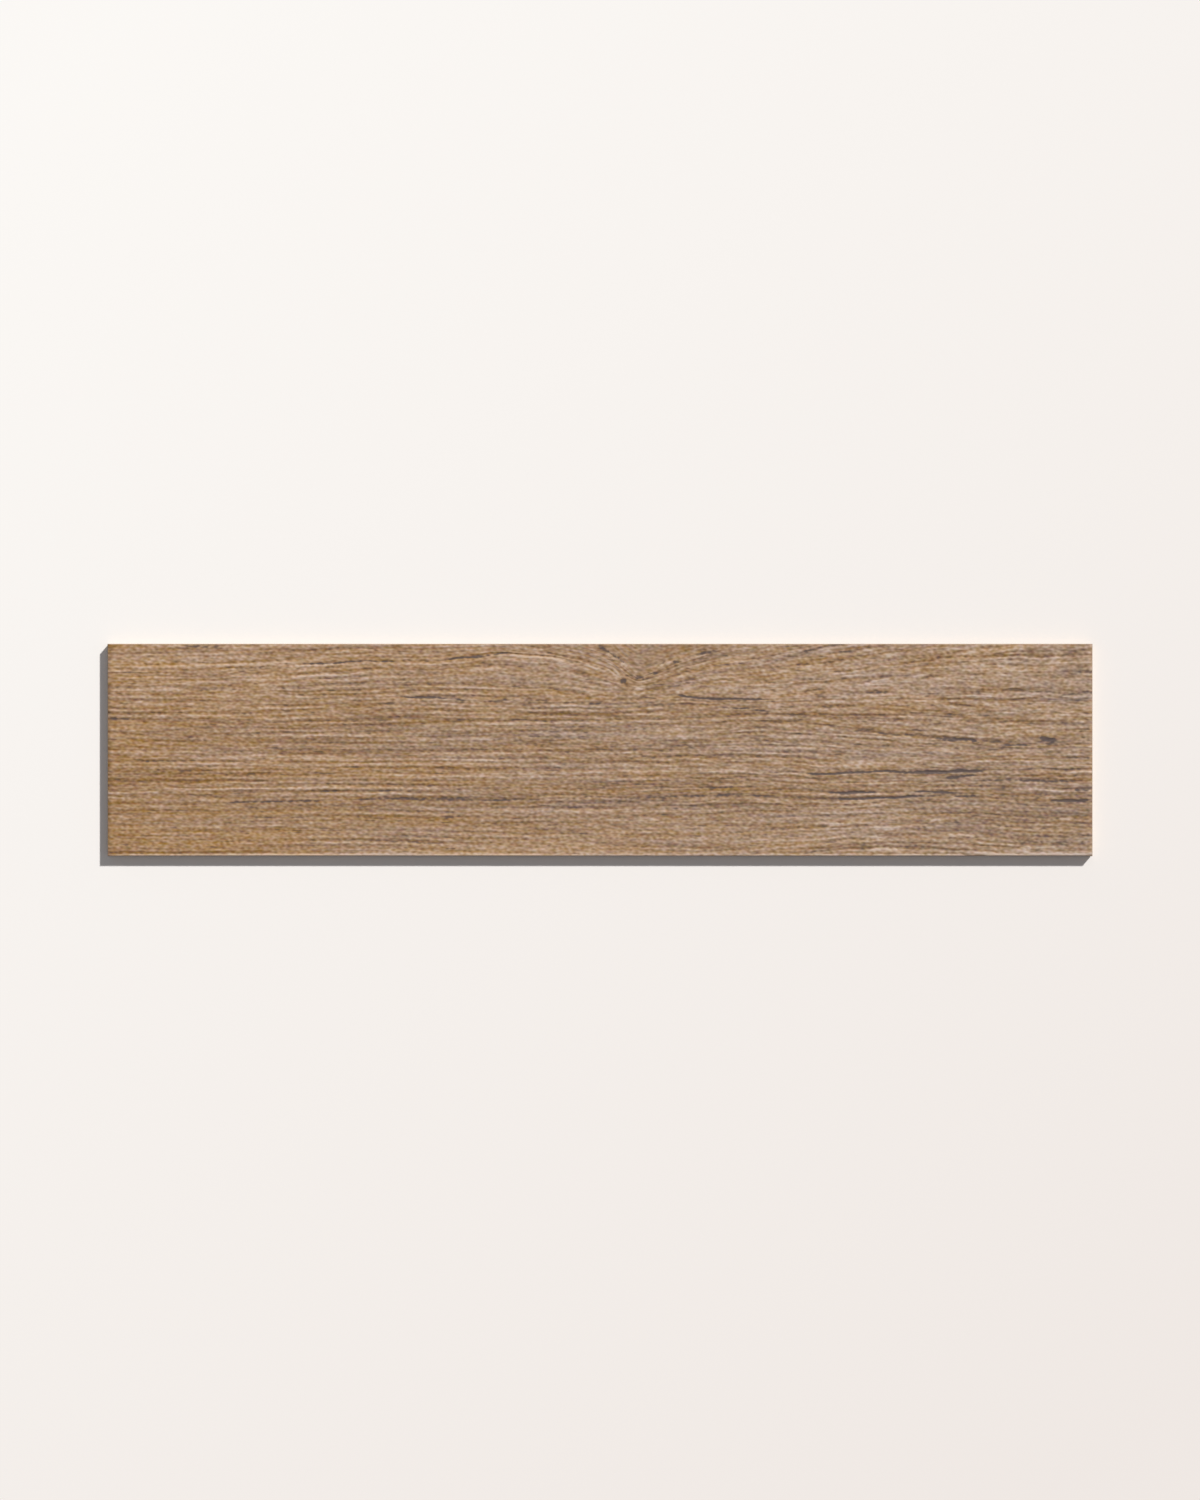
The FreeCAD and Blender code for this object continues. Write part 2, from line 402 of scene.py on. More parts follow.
def screen_colour(red, green, blue):
    """The linear colour of a screen's red, green and blue, each from 0 to 255."""
    linear = []
    for value in (red, green, blue):
        share = value / 255
        linear.append(share / 12.92 if share <= 0.04045 else ((share + 0.055) / 1.055) ** 2.4)
    return tuple(linear)


def colour_property(name, description, default):
    """A setting that is a linear colour."""
    return FloatVectorProperty(name=name, description=description, default=default, size=3, min=0, max=1,
                               subtype="COLOR")


def length_property(name, description, default):
    """A setting that is a length in metres."""
    return FloatProperty(name=name, description=description, default=default, min=0, unit="LENGTH",
                         precision=5)


class PrintedFaceSettings(bpy.types.PropertyGroup):
    """The relief and the printed colours of the wood face."""

    columns: IntProperty(name="Columns", description="Relief cells along the plank", default=300, min=8)
    rows: IntProperty(name="Rows", description="Relief cells across the plank", default=298, min=8)
    seed: IntProperty(name="Seed", description="Picks the random part of the grain", default=3, min=0)
    grain_depth: length_property("Grain depth", "Depth of the pressed grain", 0.4 * MM)
    check_depth: length_property("Check depth", "Further depth of a full check", 0.2 * MM)
    arris: length_property("Arris", "Ground bevel round the face", 0.7 * MM)
    dark_grain: colour_property("Dark grain", "Darkest print between the checks", screen_colour(119, 88, 61))
    brown_grain: colour_property("Brown grain", "Print of the grain lines", screen_colour(141, 109, 78))
    ground: colour_property("Ground", "Middle tone of the print", screen_colour(160, 129, 99))
    pale_grain: colour_property("Pale grain", "Print of the raised lines", screen_colour(180, 150, 123))
    silver_grain: colour_property("Silver grain", "Palest print", screen_colour(199, 174, 154))
    check_colour: colour_property("Check", "Print inside the checks", screen_colour(86, 73, 70))


class BodySettings(bpy.types.PropertyGroup):
    """The porcelain body at the edges and the back."""

    back_bevel: length_property("Back bevel", "Bevel round the back", 1.0 * MM)
    border: length_property("Border", "Plain strip round the keyed back", 10.5 * MM)
    rib_width: length_property("Rib width", "Width of a rib's top", 4.0 * MM)
    rib_spacing: length_property("Rib spacing", "Wanted distance from rib to rib", 22.0 * MM)
    pocket_depth: length_property("Pocket depth", "Depth between the ribs", 0.7 * MM)
    pocket_clip: length_property("Pocket clip", "How far pocket corners are cut back", 2.5 * MM)
    pocket_lean: length_property("Pocket lean", "How far pocket walls close in", 0.4 * MM)
    glaze_line: length_property("Glaze line", "Thickness of glaze seen on a ground edge", 0.45 * MM)
    body_colour: colour_property("Body", "Fired body", screen_colour(172, 150, 127))
    fleck_colour: colour_property("Flecks", "Dark flecks in the body", screen_colour(126, 108, 90))
    wash_colour: colour_property("Wash", "Pale kiln wash left on the ribs", screen_colour(205, 196, 183))


class StageSettings(bpy.types.PropertyGroup):
    """The floor, the lights and the camera."""

    floor_size: length_property("Floor size", "Side of the square floor", 60.0)
    # These two floor colours paint a falloff of light: painted light at the upper left, painted shade at the
    # lower right.
    floor_painted_lit: colour_property("Floor, upper left", "Palest floor", screen_colour(251, 248, 243))
    floor_painted_shade: colour_property("Floor, lower right", "Darkest floor", screen_colour(239, 232, 226))
    key_strength: FloatProperty(name="Key", description="Strength of the key light", default=3.99, min=0)
    fill_strength: FloatProperty(name="Fill", description="Strength of the light all round",
                                 default=0.238, min=0)
    lens: FloatProperty(name="Lens", description="Focal length", default=100.0, min=1,
                        subtype="DISTANCE_CAMERA")


# Node trees


def join(tree, socket, value):
    """Links an output to a socket, or sets the socket to a plain value."""
    if isinstance(value, bpy.types.NodeSocket):
        tree.links.new(value, socket)
    else:
        socket.default_value = value


def add(tree, kind, inputs=None, **settings):
    """Adds a node, with its settings and its inputs by name or number."""
    node = tree.nodes.new(kind)
    for name, value in settings.items():
        setattr(node, name, value)
    for key, value in (inputs or {}).items():
        join(tree, node.inputs[key], value)
    return node


def calc(tree, operation, *values):
    """The result of a Math node."""
    return add(tree, "ShaderNodeMath", dict(enumerate(values)), operation=operation).outputs[0]


def vector_calc(tree, operation, *values):
    """The result of a Vector Math node."""
    return add(tree, "ShaderNodeVectorMath", dict(enumerate(values)), operation=operation).outputs[0]


def axes(tree, places):
    """The X, Y and Z of places."""
    return add(tree, "ShaderNodeSeparateXYZ", {0: places}).outputs


def combined(tree, **parts):
    """A vector made of its X, Y and Z, each 0 unless it is given."""
    return add(tree, "ShaderNodeCombineXYZ", parts).outputs[0]


def mix(tree, factor, first, second):
    """The result of mixing two colours."""
    return add(tree, "ShaderNodeMix", {0: factor, 6: first, 7: second}, data_type="RGBA").outputs[2]


def spread(tree, value, low, high, to_low=0.0, to_high=1.0):
    """A value taken from one range to another and held there."""
    inputs = {"Value": value, "From Min": low, "From Max": high, "To Min": to_low, "To Max": to_high}
    return add(tree, "ShaderNodeMapRange", inputs).outputs["Result"]


def noise(tree, places, cell, detail=0.0, start=0.0):
    """Noise about 0.5 in cells of a given size along each axis, in millimetres.
    It is turned after the scaling, so that no rows of cells show."""
    scaled = vector_calc(tree, "MULTIPLY_ADD", places, [1 / (side * MM) for side in cell], (start,) * 3)
    inputs = {"Vector": scaled, "Rotation": NOISE_TURN}
    turned = add(tree, "ShaderNodeVectorRotate", inputs, rotation_type="EULER_XYZ").outputs[0]
    return add(tree, "ShaderNodeTexNoise", {"Vector": turned, "Scale": 1.0, "Detail": detail}).outputs["Fac"]


def layer_noise(tree, places, layer, seed):
    """Noise about 0.5 in a layer given as length, width and start."""
    length, width, start = layer
    return noise(tree, places, (length, width, DEEP), start=seed + start)


def weighed(tree, layer, weight, total=0.0):
    """A layer of noise, centred and brought to its weight, added to a total."""
    even = calc(tree, "MULTIPLY_ADD", layer, 1 / NOISE_SPREAD, -0.5 / NOISE_SPREAD)
    return calc(tree, "MULTIPLY_ADD", even, weight, total)


def point_value(tree, name, vector=False):
    """What the face's points carry under a name, for a shader or for geometry nodes."""
    if tree.type == "SHADER":
        return add(tree, "ShaderNodeAttribute", attribute_name=name).outputs["Vector" if vector else "Fac"]
    kind = "FLOAT_VECTOR" if vector else "FLOAT"
    return add(tree, "GeometryNodeInputNamedAttribute", {"Name": name}, data_type=kind).outputs["Attribute"]


def object_places(tree):
    """Places on the piece itself, for a shader or for geometry nodes."""
    if tree.type == "SHADER":
        return add(tree, "ShaderNodeTexCoord").outputs["Object"]
    return add(tree, "GeometryNodeInputPosition").outputs[0]


def opaque(colour):
    """A colour with full cover."""
    return (*colour, 1.0)


def new_material(name):
    """A fresh material, its tree and its shader."""
    material = bpy.data.materials.new(name)
    material.use_nodes = True
    tree = material.node_tree
    return material, tree, tree.nodes["Principled BSDF"]


def bump(tree, shader, height, distance):
    """Makes a surface catch the light as if it had this height."""
    made = add(tree, "ShaderNodeBump", {"Strength": 1.0, "Distance": distance, "Height": height})
    join(tree, shader.inputs["Normal"], made.outputs["Normal"])


def new_geometry_tree(name, inputs):
    """A fresh tree of geometry nodes, what its inputs give, and their identifiers by name."""
    tree = bpy.data.node_groups.new(name, "GeometryNodeTree")
    sockets = {}
    for label, kind in inputs.items():
        socket = tree.interface.new_socket(label, in_out="INPUT", socket_type=f"NodeSocket{kind}")
        sockets[label] = socket.identifier
    tree.interface.new_socket("Geometry", in_out="OUTPUT", socket_type="NodeSocketGeometry")
    return tree, tree.nodes.new("NodeGroupInput").outputs, sockets


def moved(tree, geometry, **inputs):
    """Geometry after a Set Position node."""
    return add(tree, "GeometryNodeSetPosition", {"Geometry": geometry, **inputs}).outputs[0]


def realized(tree, geometry):
    """Geometry with its instances made real."""
    return add(tree, "GeometryNodeRealizeInstances", {0: geometry}).outputs[0]


def end_tree(tree, geometry, material):
    """Gives the geometry its material and hands it out of the tree."""
    inputs = {"Geometry": geometry, "Material": material}
    add(tree, "NodeGroupOutput", {0: add(tree, "GeometryNodeSetMaterial", inputs).outputs[0]})


def grown(mesh, tree, sockets, values):
    """The points and faces that a tree of geometry nodes makes of a mesh, with its inputs by name."""
    carrier = bpy.data.objects.new(tree.name, mesh)
    bpy.context.scene.collection.objects.link(carrier)
    modifier = carrier.modifiers.new(tree.name, "NODES")
    modifier.node_group = tree
    for name, value in values.items():
        modifier[sockets[name]] = value
    depsgraph = bpy.context.evaluated_depsgraph_get()
    made = bpy.data.meshes.new_from_object(carrier.evaluated_get(depsgraph), depsgraph=depsgraph)
    points = np.empty(3 * len(made.vertices), np.float32)
    made.vertices.foreach_get("co", points)
    faces = [tuple(polygon.vertices) for polygon in made.polygons]
    bpy.data.objects.remove(carrier)
    for spare in (mesh, made):
        bpy.data.meshes.remove(spare)
    return points.reshape(-1, 3), faces


# Finishes


def straight_ways(tree, seed):
    """Two ways to lay the straightened grain, one finer than the other, and the share of each.
    The finer one takes over where grain lines spread apart, so that marks keep their width."""
    place = axes(tree, point_value(tree, "grain", vector=True))
    width = calc(tree, "MULTIPLY_ADD", point_value(tree, "ruled"), -RULED_CALM * WAVE * MM, WAVE * MM)
    wave = weighed(tree, layer_noise(tree, object_places(tree), WANDER, seed), width)
    ways = []
    for step in (0.0, LEVEL_STEP):
        level = calc(tree, "ADD", calc(tree, "SNAP", place["Z"], LEVEL_STEP), step)
        across = calc(tree, "MULTIPLY_ADD", place["Y"], calc(tree, "POWER", 2.0, level), wave)
        laid = combined(tree, X=place["X"], Y=across, Z=calc(tree, "MULTIPLY", level, LEVEL_SHIFT))
        away = calc(tree, "ABSOLUTE", calc(tree, "SUBTRACT", place["Z"], level))
        share = calc(tree, "SQRT", calc(tree, "MULTIPLY_ADD", away, -1 / LEVEL_STEP, 1.0))
        ways.append((laid, share))
    return ways


def growth_lines(tree, places, seed):
    """Dark and pale lines at an even spacing, from -1 to 1, which waver, fade and come back."""
    stray = calc(tree, "MULTIPLY", layer_noise(tree, places, LINE_STRAY, seed), LINES_STRAYED)
    number = calc(tree, "MULTIPLY_ADD", axes(tree, places)["Y"], 1 / (LINE_SPACING * MM), stray)
    away = calc(tree, "PINGPONG", number, 0.5)
    patches = layer_noise(tree, places, LINE_PATCHES, seed)
    shown = calc(tree, "MULTIPLY_ADD", point_value(tree, "ruled"), RULED_LINES, patches)
    strength = spread(tree, shown, *LINES_SHOWN)
    return calc(tree, "MULTIPLY", strength, calc(tree, "MULTIPLY_ADD", away, 4.0, -1.0))


def grain_marks(tree, seed, shortest=0):
    """The marks that the print and the relief share: pale above 0, dark below, mostly within 3 of it."""
    marks = 0.0
    ruled = point_value(tree, "ruled")
    for places, share in straight_ways(tree, seed):
        way = calc(tree, "MULTIPLY", growth_lines(tree, places, seed), LINE_WEIGHT)
        for number, (length, width, unruly, even) in enumerate(STREAKS):
            if length >= shortest:
                layer = layer_noise(tree, places, (length, width, STREAK_STEP * number), seed)
                way = weighed(tree, layer, calc(tree, "MULTIPLY_ADD", ruled, even - unruly, unruly), way)
        marks = calc(tree, "MULTIPLY_ADD", way, share, marks)
    return calc(tree, "MULTIPLY", marks, point_value(tree, "contrast"))


def wood_colour(tree, settings, marks):
    """The colour that is printed for the marks and the broad tone."""
    pale = calc(tree, "MULTIPLY_ADD", marks, 1 / MARK_RANGE, 0.5)
    ramp = add(tree, "ShaderNodeValToRGB", {"Fac": calc(tree, "ADD", pale, point_value(tree, "tone"))})
    stops = ((0.0, settings.dark_grain), (0.27, settings.brown_grain), (0.5, settings.ground),
             (0.73, settings.pale_grain), (1.0, settings.silver_grain))
    elements = ramp.color_ramp.elements
    for place, _ in stops[1:-1]:
        elements.new(place)
    for element, (place, colour) in zip(elements, stops):
        element.position = place
        element.color = opaque(colour)
    return ramp.outputs["Color"]


def tinted(tree, settings, colour):
    """A printed colour made warmer, cooler or greener in broad areas, streaks and flecks."""
    grain = point_value(tree, "grain", vector=True)
    warm = 0.0
    for *layer, levels in WARM_LAYERS:
        warm = weighed(tree, layer_noise(tree, grain, layer, settings.seed), levels, warm)
    flecks = layer_noise(tree, object_places(tree), GREEN_FLECKS, settings.seed)
    green = weighed(tree, flecks, GREEN_LEVELS)
    broad = point_value(tree, "warmth")
    for levels, tint in ((broad, BROAD_TINT), (warm, WARM_TINT), (green, GREEN_TINT)):
        colour = vector_calc(tree, "MULTIPLY_ADD", levels, tint, colour)
    return vector_calc(tree, "MAXIMUM", colour, LEAST_LIGHT)


def open_pores(tree, settings, marks):
    """How dark each place is with open pores, which are fewer in pale grain."""
    holes = layer_noise(tree, object_places(tree), PORES, settings.seed)
    return spread(tree, calc(tree, "MULTIPLY_ADD", marks, PORE_LEAN, holes), *PORE_RIM, to_high=PORE_DARK)


def open_checks(tree, marks):
    """How dark each place is with checks, whose rims the marks make ragged."""
    split = calc(tree, "MULTIPLY", point_value(tree, "check"), CHECK_GAIN)
    ragged = calc(tree, "MULTIPLY_ADD", marks, -CHECK_RAGGED, split)
    return spread(tree, ragged, *CHECK_RIM, to_high=CHECK_DARK)


def printed_glaze(settings):
    """The satin printed face, whose colours follow the same marks as its relief."""
    material, tree, shader = new_material("printed_wood_glaze")
    flecks = layer_noise(tree, object_places(tree), FLECKS, settings.seed)
    marks = weighed(tree, flecks, FLECK_WEIGHT, grain_marks(tree, settings.seed))
    wood = tinted(tree, settings, wood_colour(tree, settings, marks))
    pores = open_pores(tree, settings, marks)
    dark = calc(tree, "MAXIMUM", open_checks(tree, marks), pores)
    join(tree, shader.inputs["Base Color"], mix(tree, dark, wood, opaque(settings.check_colour)))
    join(tree, shader.inputs["Roughness"], spread(tree, marks, -MOST_MARKS, MOST_MARKS, *GLAZE_ROUGHNESS))
    shader.inputs["Specular IOR Level"].default_value = GLAZE_SHINE
    height = calc(tree, "SUBTRACT", marks, calc(tree, "MULTIPLY", pores, PORE_BUMP))
    bump(tree, shader, height, PRINT_BUMP * MM)
    return material


def flecked_body(tree, settings, flecks, share):
    """The colour of the fired body where noise gives it dark flecks of some share."""
    speck = calc(tree, "MULTIPLY", spread(tree, flecks, *FLECK_RIM), share)
    return mix(tree, speck, opaque(settings.body_colour), opaque(settings.fleck_colour))


def ground_body(settings):
    """The edges as ground to size: pale flecked porcelain with fine grinding lines under the glaze line."""
    material, tree, shader = new_material("ground_porcelain_edge")
    places = object_places(tree)
    dark = opaque(settings.fleck_colour)
    body = flecked_body(tree, settings, noise(tree, places, (EDGE_FLECK,) * 3, detail=2), share=0.7)
    clouds = noise(tree, places, EDGE_CLOUDS, detail=2)
    clouded = mix(tree, spread(tree, clouds, *MOST_NOISE, to_high=0.18), body, dark)
    top = TILE_HIGH.z - GLAZE_EDGE * MM
    glaze = spread(tree, axes(tree, places)["Z"], top - settings.glaze_line, top, to_high=0.55)
    join(tree, shader.inputs["Base Color"], mix(tree, glaze, clouded, dark))
    lines = noise(tree, places, GRINDING_LINES, detail=2)
    join(tree, shader.inputs["Roughness"], spread(tree, lines, *MOST_NOISE, to_low=0.55, to_high=0.75))
    bump(tree, shader, lines, 0.05 * MM)
    return material


def pressed_back(settings):
    """The unglazed back: flecked body, with a pale kiln wash that stayed on the ribs."""
    material, tree, shader = new_material("pressed_porcelain_back")
    places = object_places(tree)
    flecks = noise(tree, places, (BACK_FLECK,) * 3, detail=2)
    body = flecked_body(tree, settings, flecks, share=0.6)
    clouds = noise(tree, places, BACK_CLOUDS, detail=4)
    clouded = mix(tree, spread(tree, clouds, 0.35, 0.75, to_high=0.35), body, opaque(settings.fleck_colour))
    brushed = noise(tree, places, BRUSH_STROKES, detail=3)
    worn = spread(tree, calc(tree, "ADD", clouds, brushed), 0.75, 1.25, to_low=0.15, to_high=0.95)
    rib = spread(tree, axes(tree, places)["Z"], settings.pocket_depth * 0.7, 0.0)
    washed = mix(tree, calc(tree, "MULTIPLY", rib, worn), clouded, opaque(settings.wash_colour))
    join(tree, shader.inputs["Base Color"], washed)
    join(tree, shader.inputs["Roughness"], spread(tree, clouds, *MOST_NOISE, to_low=0.78, to_high=0.92))
    bump(tree, shader, flecks, 0.08 * MM)
    return material


# The face's relief and print, worked out on a grid in millimetres


def rise(values, start, length):
    """0 up to a start, 1 from a length beyond it, and even in between."""
    return np.clip((values - start) / length, 0, 1)


def hump(values, middle, reach):
    """1 at a middle, and towards 0 away from it."""
    return np.exp(-((values - middle) / reach) ** 2)


def column_places(half_x, count):
    """Places of the grid's columns, closer together about the half knot, where marks are short."""
    crowding, reach = KNOT_CROWDING
    fine = np.linspace(-half_x, half_x, 2001)
    density = 1 + crowding * hump(fine, KNOT_X, reach)
    reached = np.cumsum(density) - density[0]
    return np.interp(np.linspace(0, reached[-1], count + 1), reached, fine)


def straightened(x, y):
    """For every point, the height at which its grain line would lie if the grain were straight."""
    rest = np.array([guide[0] for guide in GRAIN_GUIDES])[::-1]
    heights = []
    for _, points in GRAIN_GUIDES[::-1]:
        line = np.interp(x[:, 0], [p[0] for p in points], [p[1] for p in points])
        padded = np.pad(line, len(LINE_SMOOTHING) // 2, mode="edge")
        heights.append(np.convolve(padded, LINE_SMOOTHING, mode="valid"))
    heights = np.array(heights)
    return np.array([np.interp(y[i], heights[:, i], rest) for i in range(len(x))])


def uneven(rng, here, ends, count, low, high):
    """Values between low and high along a line, drawn at a count of places and even in between."""
    return np.interp(here, np.linspace(*ends, count), rng.uniform(low, high, count))


def drawn_lines(rng, x, y, lines):
    """How strongly each point is covered by lines given as strength, half width and points."""
    cover = np.zeros_like(x)
    for strength, half_width, points in lines:
        xs = np.array([p[0] for p in points])
        ys = np.array([p[1] for p in points])
        ends = xs[0], xs[-1]
        columns = (x[:, 0] >= xs[0]) & (x[:, 0] <= xs[-1])
        if not columns.any():
            columns[np.argmin(abs(x[:, 0] - xs.mean()))] = True
        here = x[columns, 0]
        waver = uneven(rng, here, ends, *LINE_WAVER)
        press = uneven(rng, here, ends, *LINE_PRESS)
        swell = uneven(rng, here, ends, *LINE_SWELL)
        from_end = np.minimum(here - xs[0], xs[-1] - here)
        taper = np.clip(from_end / min(LINE_TAPER, np.ptp(xs) / 3) + 0.25, 0, 1)
        middle = (np.interp(here, xs, ys) + waver)[:, None]
        reach = (half_width * swell * (0.6 + 0.4 * taper))[:, None]
        stroke = strength * (press * taper)[:, None] / (1 + ((y[columns] - middle) / reach) ** 4)
        cover[columns] = np.maximum(cover[columns], stroke)
    return cover


def blurred(values, count):
    """Values averaged over an odd count of neighbours down each column."""
    reach = count // 2
    padded = np.pad(values, ((reach, reach), (0, 0)), mode="edge")
    return sum(padded[step:step + len(values)] for step in range(count)) / count


class WoodFace:
    """The grid of the face: its places in millimetres, and at each the height of its grain line in
    straightened grain, the level to which the lines spread (doublings of their spacing), how much of a
    check it is, how evenly ruled the grain is, and the contrast, tone and warmth of its print."""

    def __init__(self, settings):
        rng = np.random.default_rng(settings.seed)
        half_x = (LENGTH / 2 - settings.arris) / MM
        half_y = (WIDTH / 2 - settings.arris) / MM
        self.x, self.y = np.meshgrid(column_places(half_x, settings.columns),
                                     np.linspace(-half_y, half_y, settings.rows + 1), indexing="ij")
        self.grain = straightened(self.x, self.y)
        stretch = np.gradient(self.y, axis=1) / np.gradient(self.grain, axis=1)
        self.level = blurred(blurred(np.log2(stretch), 5).T, 23).T

        self.check = drawn_lines(rng, self.x, self.y, DARK_CHECKS)
        brown = drawn_lines(rng, self.x, self.y, BROWN_LINES)
        # The pale lines include a painted highlight along the front edge of the face
        pale = drawn_lines(rng, self.x, self.y, PALE_LINES)
        haze = blurred(self.check.T, 9).T

        # Parts of the face in millimetres, 0 outside and 1 inside
        heart = rise(self.grain, KNOT_HEART, 6)
        knot = hump(self.x, KNOT_X, 70) * rise(self.y, 50, 20)
        left = hump(self.x, -200, 130)
        left_end = rise(-self.x, 100, 200)
        upper = rise(self.y, 25, 20)
        upper_right = rise(self.x, 0, 200) * rise(self.y, -45, 30)
        lower = rise(-self.y, 40, 20)
        self.ruled = np.clip(0.45 + 0.5 * left - 0.3 * upper - 0.3 * upper_right - 0.2 * knot, 0, 1)
        calmer = 0.22 * lower + 0.08 * left_end * (1 + lower)
        self.contrast = (0.95 + 0.12 * upper_right - calmer) * (1 - 0.65 * heart)

        self.tone = 0.6 * pale - 0.7 * brown - 0.3 * haze - 0.07 * heart
        for tone, *area in BROAD_TONES:
            self.tone += tone * self.soft_area(*area)
        self.warmth = -END_WARMTH * self.x / half_x
        for warmth, *area in BROAD_HUES:
            self.warmth += warmth * self.soft_area(*area)

    def soft_area(self, x, y, half_length, half_width):
        """How far each point lies within an area, from 0 to 1."""
        return np.exp(-((self.x - x) / half_length) ** 4 - ((self.y - y) / half_width) ** 2)

    def mark(self, mesh):
        """Writes what the finishes and the relief read on a mesh whose first points are this grid."""
        spare = len(mesh.vertices) - self.x.size
        for name in ("tone", "check", "ruled", "contrast", "warmth"):
            values = np.pad(getattr(self, name).ravel(), (0, spare))
            layer = mesh.attributes.new(name, "FLOAT", "POINT")
            layer.data.foreach_set("value", values.astype(np.float32))
        flow = np.stack((self.x.ravel() * MM, self.grain.ravel() * MM, self.level.ravel()), axis=-1)
        layer = mesh.attributes.new("grain", "FLOAT_VECTOR", "POINT")
        layer.data.foreach_set("vector", np.pad(flow, ((0, spare), (0, 0))).astype(np.float32).ravel())


def relief_tree(settings):
    """Geometry nodes that press the marks of the grain and the checks into a flat grid."""
    inputs = {"Geometry": "Geometry", "Grain depth": "Float", "Check depth": "Float", "Material": "Material"}
    tree, given, sockets = new_geometry_tree("pressed_grain", inputs)
    marks = grain_marks(tree, settings.seed, shortest=SHORTEST_PRESSED)
    marked = calc(tree, "MULTIPLY", marks, 1 / PRESSED_RANGE)
    raised = calc(tree, "MULTIPLY_ADD", point_value(tree, "tone"), PRESSED_TONE, marked)
    hollow = calc(tree, "MULTIPLY", spread(tree, raised, 0.5, -0.5), given["Grain depth"])
    depth = calc(tree, "MULTIPLY_ADD", point_value(tree, "check"), given["Check depth"], hollow)
    pressed = moved(tree, given["Geometry"], Offset=combined(tree, Z=calc(tree, "MULTIPLY", depth, -1.0)))
    end_tree(tree, realized(tree, pressed), given["Material"])
    return tree, sockets


def pressed_depth(face, settings, material):
    """How far below the highest point each point of the face lies, in metres."""
    flat = bpy.data.meshes.new("flat_face")
    places = np.stack((face.x.ravel(), face.y.ravel(), np.zeros(face.x.size)), axis=-1) * MM
    flat.from_pydata(places, [], [])
    face.mark(flat)
    values = {"Grain depth": settings.grain_depth, "Check depth": settings.check_depth, "Material": material}
    points, _ = grown(flat, *relief_tree(settings), values)
    height = points[:, 2].reshape(face.x.shape)
    return height.max() - height


# The mesh

FACE, FRONT, RIGHT, REAR, LEFT, BACK = range(6)
SIDES = (FRONT, RIGHT, REAR, LEFT)
FINISHES = np.array((0, 1, 1, 1, 1, 2), np.int32)  # printed glaze, ground body or pressed back, by region

# Where each region lies on the square sheet for baking: left edge, width, lower edge and height
SHEET = {
    FACE: (0.01, 0.98, 0.35, 0.64),
    FRONT: (0.01, 0.98, 0.22, 0.03),
    RIGHT: (0.52, 0.45, 0.31, 0.03),
    REAR: (0.01, 0.98, 0.265, 0.03),
    LEFT: (0.01, 0.45, 0.31, 0.03),
    BACK: (0.01, 0.98, 0.01, 0.2),
}
SHEET_BEVEL = 2 * MM  # room on the sheet for the arris, and again for the bevel of the back
TOUCHING = 0.01 * MM  # points of neighbouring pockets closer than this are one


class Shell:
    """Points and faces of the closed tile, gathered region by region."""

    def __init__(self):
        self.points = []
        self.faces = []
        self.regions = []

    def add_points(self, points):
        """Adds points, and returns their numbers."""
        first = len(self.points)
        self.points.extend(map(tuple, points))
        return np.arange(first, len(self.points))

    def add_face(self, corners, region):
        """Adds a face between numbered points."""
        self.faces.append(tuple(int(c) for c in corners))
        self.regions.append(region)

    def zip_sides(self, upper, lower, region):
        """Joins two rows of points that run the same way, which may have different counts."""
        i = j = 0
        while i < len(upper) - 1 or j < len(lower) - 1:
            upper_share = (i + 1) / (len(upper) - 1)
            lower_share = (j + 1) / (len(lower) - 1)
            if math.isclose(upper_share, lower_share):
                self.add_face((upper[i], lower[j], lower[j + 1], upper[i + 1]), region)
                i += 1
                j += 1
            elif upper_share < lower_share:
                self.add_face((upper[i], lower[j], upper[i + 1]), region)
                i += 1
            else:
                self.add_face((upper[i], lower[j], lower[j + 1]), region)
                j += 1


def rows_of(numbers, counts):
    """The numbers of a closed loop cut into four rows that share their corners."""
    loop = np.append(numbers, numbers[0])
    rows = []
    start = 0
    for side in range(4):
        rows.append(loop[start:start + counts[side % 2] + 1])
        start += counts[side % 2]
    return rows


def ring(shell, half_x, half_y, z, counts):
    """Four rows of points round a level rectangle, anticlockwise from its front left corner."""
    corners = ((-half_x, -half_y), (half_x, -half_y), (half_x, half_y), (-half_x, half_y))
    places = []
    for side in range(4):
        start, end = np.array(corners[side]), np.array(corners[(side + 1) % 4])
        for step in range(counts[side % 2]):
            places.append((*(start + (end - start) * step / counts[side % 2]), z))
    return rows_of(shell.add_points(places), counts)


def add_face_grid(shell, face, depth):
    """The relief face. Its rim lies on the plane of the arris, further out where it is lower."""
    columns, rows = depth.shape[0] - 1, depth.shape[1] - 1
    x, y = face.x * MM, face.y * MM
    x[0] -= depth[0]
    x[-1] += depth[-1]
    y[:, 0] -= depth[:, 0]
    y[:, -1] += depth[:, -1]
    points = np.stack((x, y, TILE_HIGH.z - depth), axis=-1)
    numbers = shell.add_points(points.reshape(-1, 3)).reshape(depth.shape)
    for i in range(columns):
        for j in range(rows):
            corners = (numbers[i, j], numbers[i + 1, j], numbers[i + 1, j + 1], numbers[i, j + 1])
            shell.add_face(corners, FACE)
    return [numbers[:, 0], numbers[-1, :], numbers[::-1, -1], numbers[0, ::-1]], (columns, rows)


def pockets_along(side, body):
    """How many pockets fit along a side of the back, and the distance from one to the next."""
    patterned = side - 2 * body.border + body.rib_width
    count = 2 * max(1, round(patterned / (2 * body.rib_spacing)))
    return count, patterned / count


